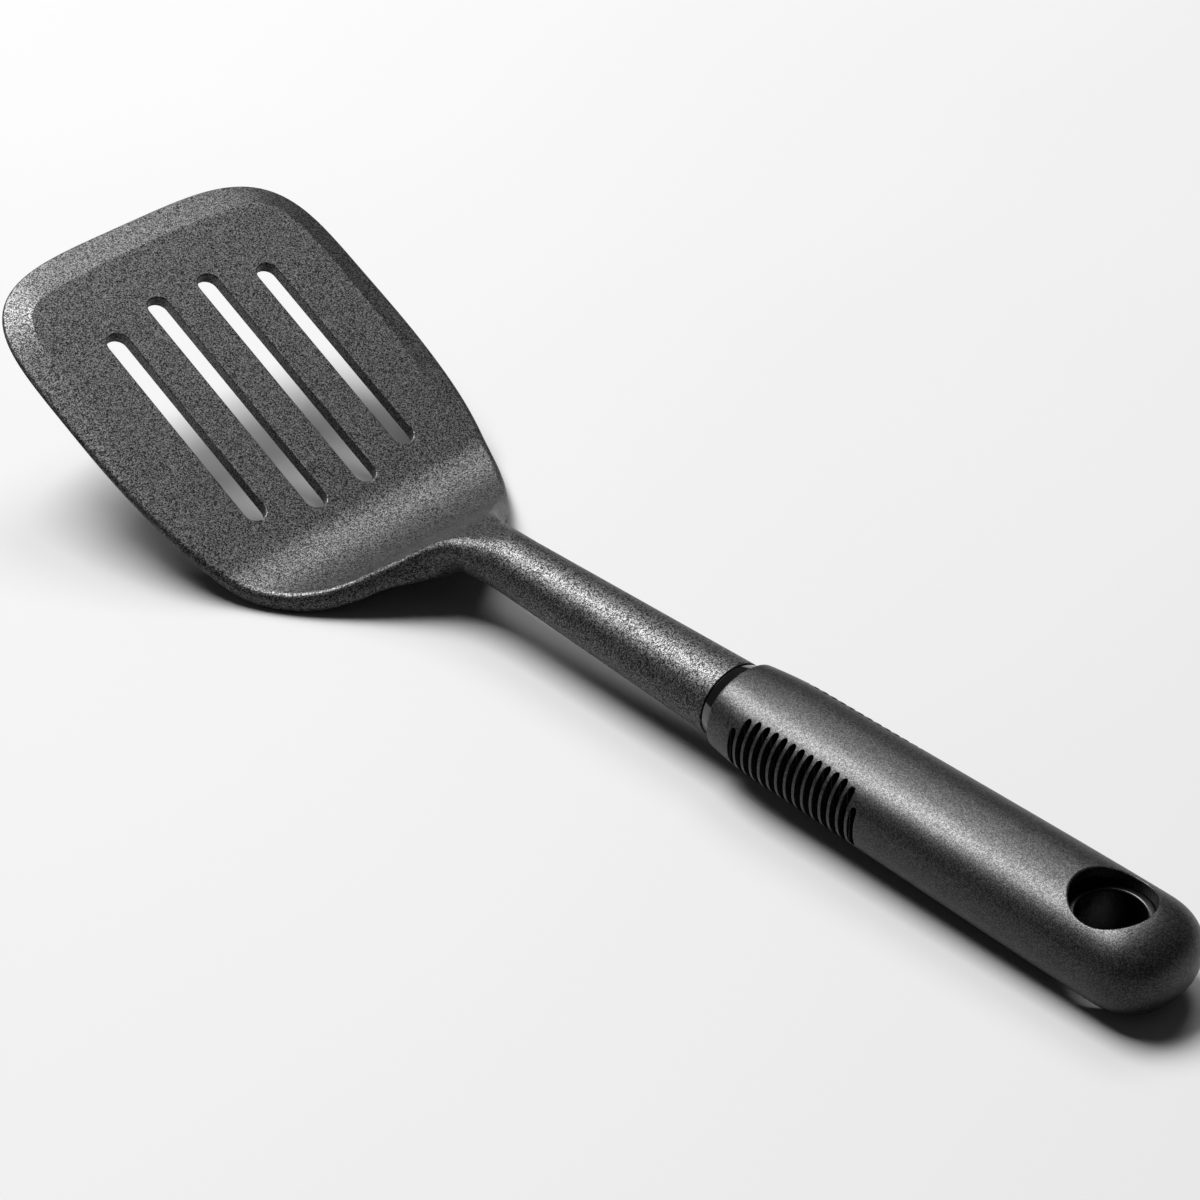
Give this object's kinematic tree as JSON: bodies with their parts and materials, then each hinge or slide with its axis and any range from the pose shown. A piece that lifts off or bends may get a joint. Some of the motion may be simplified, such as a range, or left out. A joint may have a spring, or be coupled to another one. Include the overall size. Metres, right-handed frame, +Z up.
{
  "type": "grill spatula",
  "caption": "Slotted grill spatula: moulded blade curving up into a round shank, gloss collar and soft finned grip with a hanging hole.",
  "frame": {"origin": "centre of the footprint, on the surface that the spatula lies on: the heel of the blade touches z = 0, and the underside of the grip's end is within 0.05 mm of it", "axes": "+X from the blade's tip towards the handle's end, +Y across the blade, +Z up, in the pose in which the spatula lies on a table"},
  "size_m": [0.317, 0.09, 0.0482],
  "materials": {
    "head_nylon": "fine sparked texture, black heat-resistant nylon",
    "collar_gloss": "polished black",
    "core_plastic": "plain moulded, hidden",
    "pin_steel": "ground, hidden",
    "grip_rubber": "fine matte texture, soft black elastomer",
    "eye_plastic": "smooth black"
  },
  "bodies": {
    "root": {"head_moulding": "head_nylon", "collar_ring": "collar_gloss", "handle_core": "core_plastic", "tang_pins": "pin_steel", "grip_sleeve": "grip_rubber", "hang_eye_bush": "eye_plastic"}
  },
  "joints": []
}
